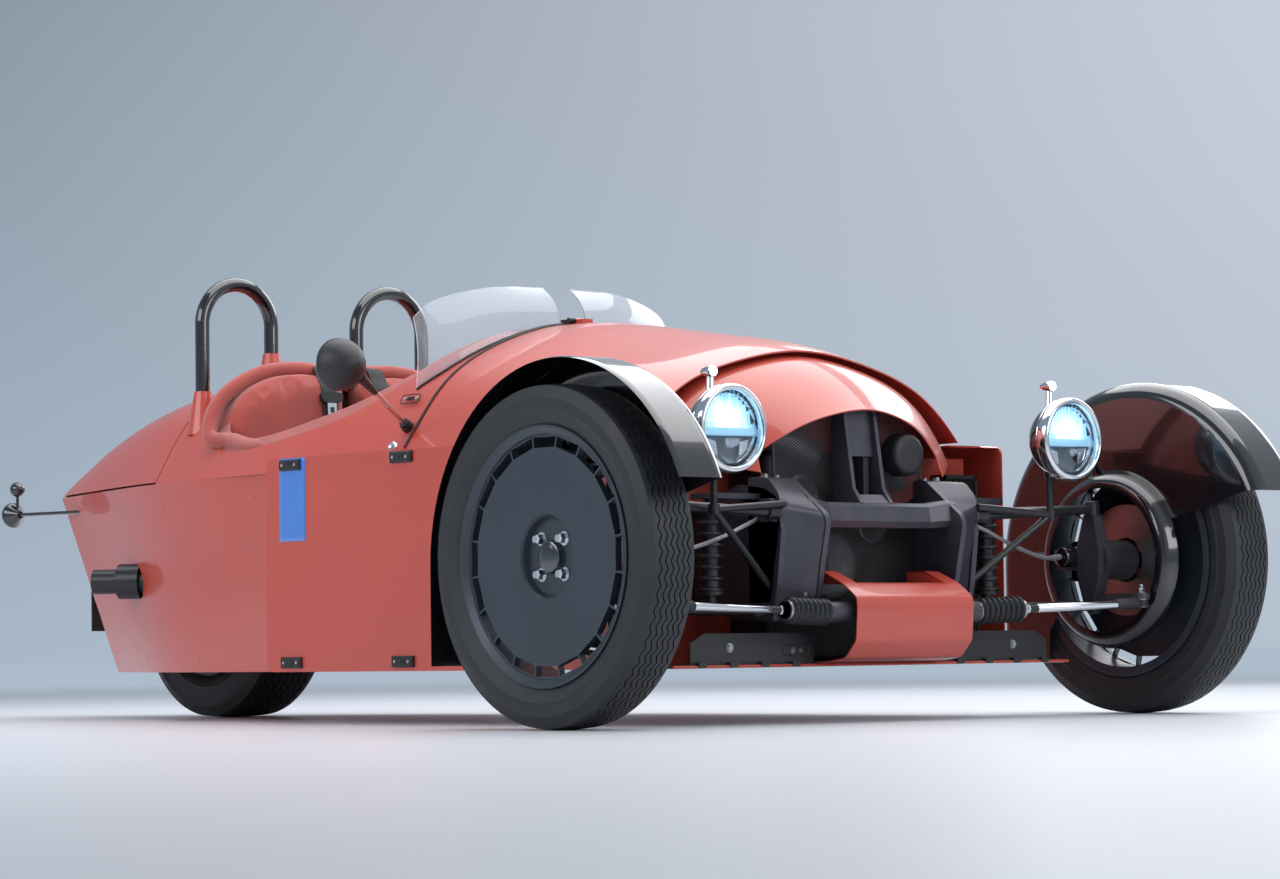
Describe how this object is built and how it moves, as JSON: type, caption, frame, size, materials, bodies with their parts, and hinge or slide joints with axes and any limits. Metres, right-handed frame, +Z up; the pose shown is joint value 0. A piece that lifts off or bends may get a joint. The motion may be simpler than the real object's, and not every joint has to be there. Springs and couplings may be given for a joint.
{
  "type": "open three wheeled sports car",
  "caption": "Open two-seat three wheeled car with cycle wings on steered front wheels, a boat tail over the driven rear wheel, hinged bonnet and tail lid.",
  "frame": {"origin": "on the ground, below the middle of the car's length and width", "axes": "+X towards the front of the car, +Y to its left, +Z up"},
  "size_m": [3.581, 1.875, 1.132],
  "materials": {
    "body_paint": "gloss coral red paint",
    "wing_black": "gloss black",
    "tyre": "matt black rubber",
    "wheel_grey": "satin dark grey paint",
    "disc_steel": "machined",
    "cast_grey": "satin dark grey casting",
    "tube_black": "satin black paint",
    "polished": "polished",
    "soft_black": "matt",
    "plastic_black": "fine grain",
    "mesh_black": "pierced sheet",
    "lamp_shell": "dark chrome",
    "lamp_lens": "clear",
    "screen": "clear acrylic",
    "trim_red": "suede like cloth",
    "engine_grey": "plain block"
  },
  "bodies": {
    "chassis": {"tub_floor": "body_paint", "tub_left": "body_paint", "tub_right": "body_paint", "upper_body": "body_paint", "nose_cowl": "body_paint", "rack_cover": "body_paint", "side_blade_left": "body_paint", "side_blade_right": "body_paint", "hoop_boots": "body_paint", "front_frame": "cast_grey", "grille_mesh": "mesh_black", "engine": "engine_grey", "undertray": "plastic_black", "radiators": "mesh_black", "roll_hoops": "wing_black", "flyscreens": "screen", "accessory_ports": "plastic_black", "dashboard": "plastic_black", "steering_column": "tube_black", "seat_base": "trim_red", "seat_back": "trim_red", "cockpit_trim": "trim_red", "mirrors": "wing_black", "tail_lamps": "lamp_shell", "exhaust": "tube_black", "plate_holder": "plastic_black", "swingarm": "tube_black", "upper_wishbones": "tube_black", "lower_wishbones": "tube_black", "dampers": "tube_black", "steering_rack": "cast_grey", "gaiters": "soft_black", "headlamps": "lamp_shell", "headlamp_lenses": "lamp_lens", "lamp_brackets": "tube_black", "panel_hinges": "plastic_black"},
    "wheel_left": {"tyre_front_left": "tyre", "rim_front_left": "wheel_grey", "brake_disc_left": "disc_steel"},
    "wheel_right": {"tyre_front_right": "tyre", "rim_front_right": "wheel_grey", "brake_disc_right": "disc_steel"},
    "wheel_rear": {"tyre_rear": "tyre", "rim_rear": "wheel_grey"},
    "knuckle_left": {"upright_left": "cast_grey", "wing_left": "wing_black"},
    "knuckle_right": {"upright_right": "cast_grey", "wing_right": "wing_black"},
    "rack_bar": {"tie_rods": "polished"},
    "wheel_of_driver": {"steering_wheel": "plastic_black"},
    "bonnet_panel": {"bonnet": "body_paint"},
    "lid_panel": {"tail_lid": "body_paint"}
  },
  "joints": [
    {"name": "steer_right", "type": "hinge", "parent": "chassis", "child": "knuckle_right", "pos_m": [1.35177, -0.72, 0.36], "axis": [0, 0, 1], "range_deg": [-25, 25]},
    {"name": "steer_left", "type": "hinge", "parent": "chassis", "child": "knuckle_left", "pos_m": [1.35177, 0.72, 0.36], "axis": [0, 0, 1], "range_deg": [-25, 25]},
    {"name": "rack_slide", "type": "slide", "parent": "chassis", "child": "rack_bar", "axis": [0, 1, 0], "range_m": [-0.066, 0.066]},
    {"name": "driver_wheel", "type": "hinge", "parent": "chassis", "child": "wheel_of_driver", "pos_m": [-0.03823, 0.235, 0.78], "axis": [-0.9243, 0, 0.3818], "range_deg": [-350, 350]},
    {"name": "wheel_left_spin", "type": "hinge", "parent": "knuckle_left", "child": "wheel_left", "pos_m": [1.35177, 0.8725, 0.358], "axis": [0, 1, 0], "continuous": true},
    {"name": "wheel_right_spin", "type": "hinge", "parent": "knuckle_right", "child": "wheel_right", "pos_m": [1.35177, -0.8725, 0.358], "axis": [0, 1, 0], "continuous": true},
    {"name": "wheel_rear_spin", "type": "hinge", "parent": "chassis", "child": "wheel_rear", "pos_m": [-1.09623, 0, 0.317], "axis": [0, 1, 0], "continuous": true},
    {"name": "bonnet_hinge", "type": "hinge", "parent": "chassis", "child": "bonnet_panel", "pos_m": [0.35977, 0, 0.955], "axis": [0, -1, 0], "range_deg": [0, 50]},
    {"name": "lid_hinge", "type": "hinge", "parent": "chassis", "child": "lid_panel", "pos_m": [-0.80623, 0, 0.89344], "axis": [0, 1, 0], "range_deg": [0, 50]}
  ],
  "couplings": [
    {"joint": "steer_left", "follows": "steer_right", "ratio": 1},
    {"joint": "rack_slide", "follows": "steer_right", "m_per_rad": 0.15},
    {"joint": "driver_wheel", "follows": "steer_right", "ratio": 14}
  ]
}
